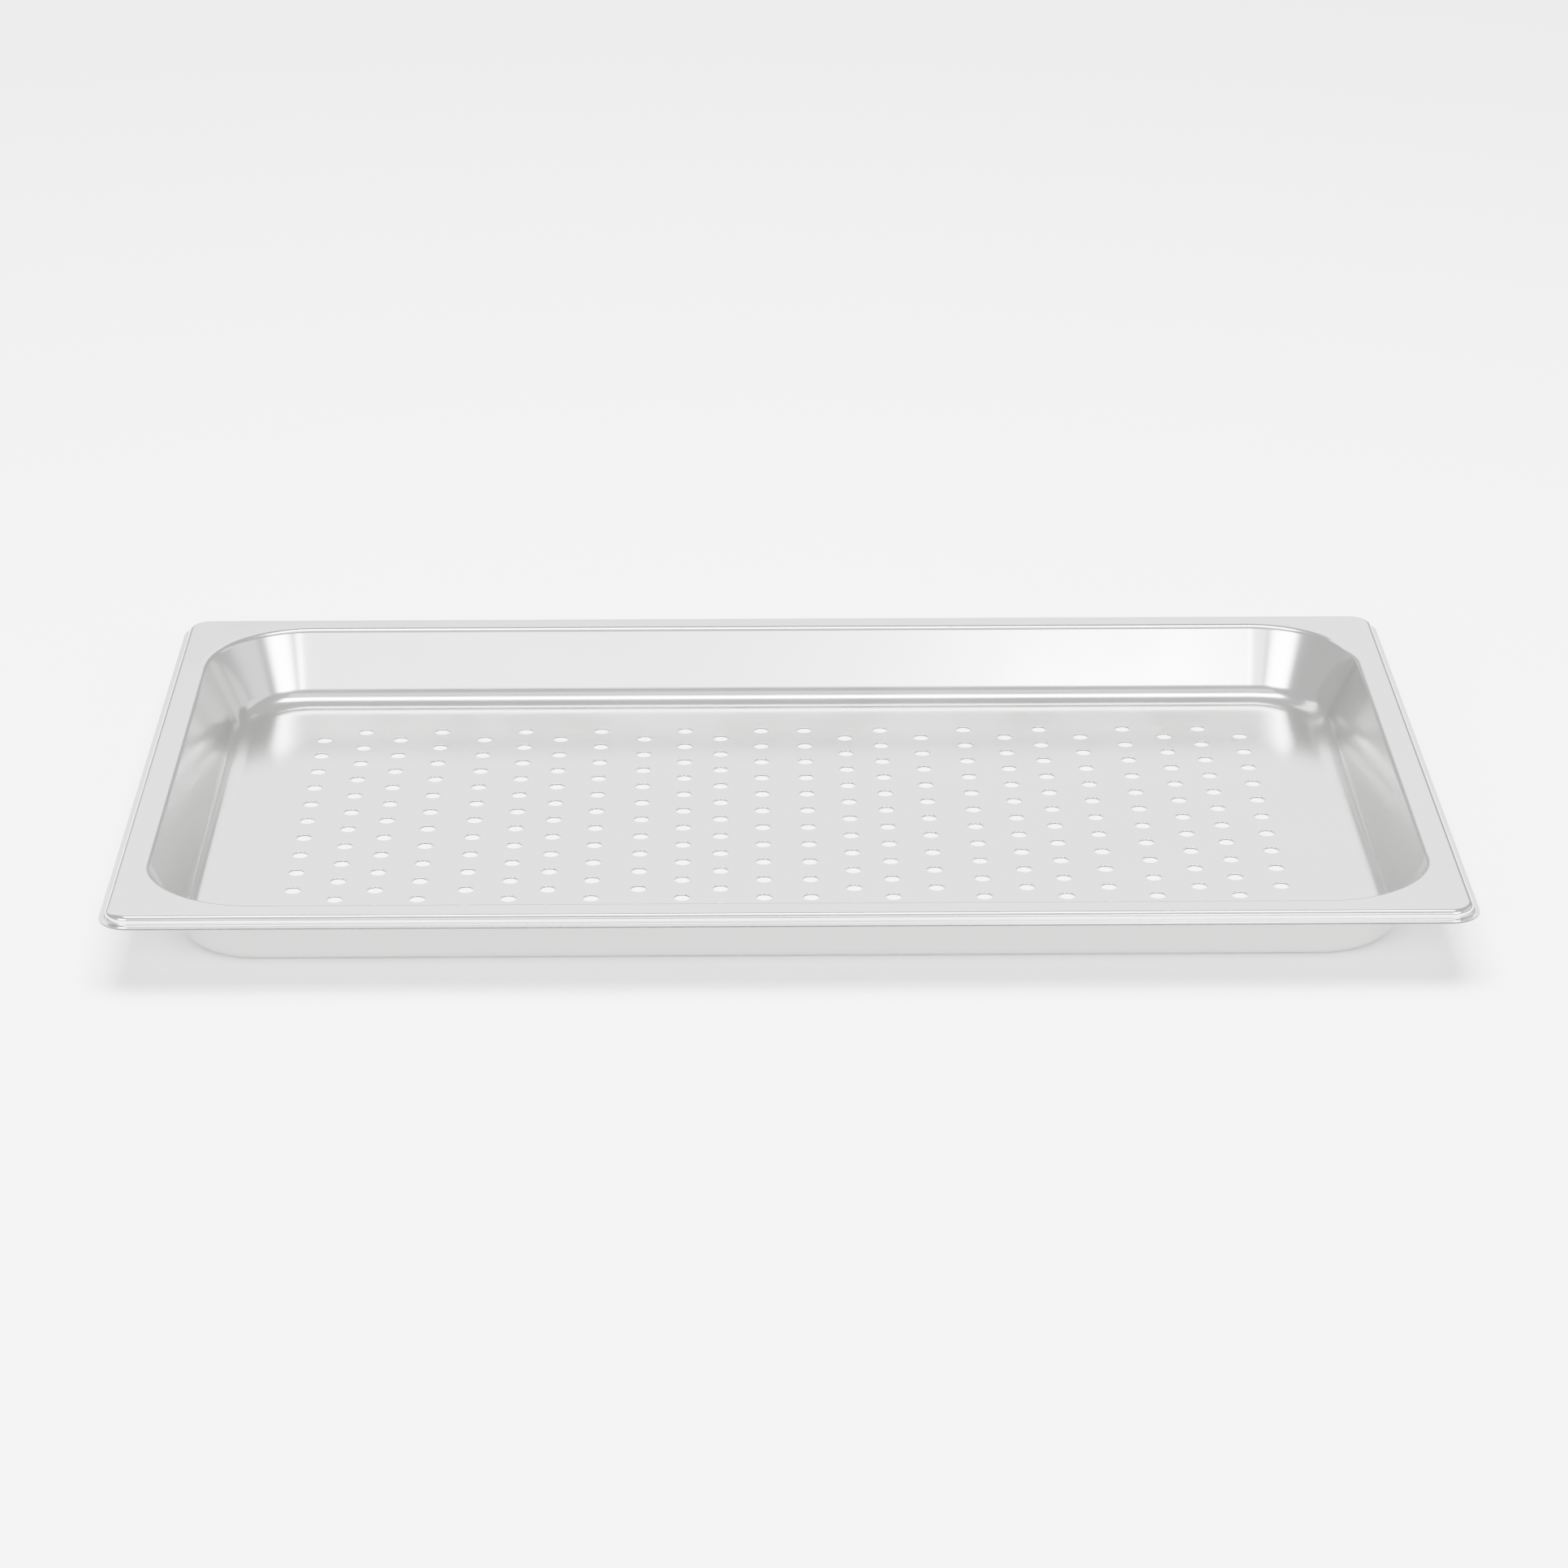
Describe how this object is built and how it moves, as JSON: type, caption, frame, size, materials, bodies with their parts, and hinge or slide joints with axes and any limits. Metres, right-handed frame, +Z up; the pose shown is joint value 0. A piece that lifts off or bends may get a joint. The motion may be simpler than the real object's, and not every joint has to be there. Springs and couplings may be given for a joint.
{
  "type": "perforated baking tray",
  "caption": "Shallow rectangular tray pressed from one sheet of stainless steel, with a perforated flat floor, leaning walls, rounded corners and a rolled flange with a turned-out lip.",
  "frame": {"origin": "under the centre of the floor, on the face that the tray stands on", "axes": "+X along the length, +Y from front to back, +Z up out of the bowl"},
  "size_m": [0.53, 0.325, 0.031],
  "materials": {
    "stainless_steel": "bright annealed, satin from pressing"
  },
  "bodies": {
    "root": {"floor": "stainless_steel", "front_wall": "stainless_steel", "back_wall": "stainless_steel", "left_wall": "stainless_steel", "right_wall": "stainless_steel", "front_left_corner": "stainless_steel", "front_right_corner": "stainless_steel", "back_left_corner": "stainless_steel", "back_right_corner": "stainless_steel", "front_rim": "stainless_steel", "back_rim": "stainless_steel", "left_rim": "stainless_steel", "right_rim": "stainless_steel", "front_left_rim_corner": "stainless_steel", "front_right_rim_corner": "stainless_steel", "back_left_rim_corner": "stainless_steel", "back_right_rim_corner": "stainless_steel"}
  },
  "joints": []
}
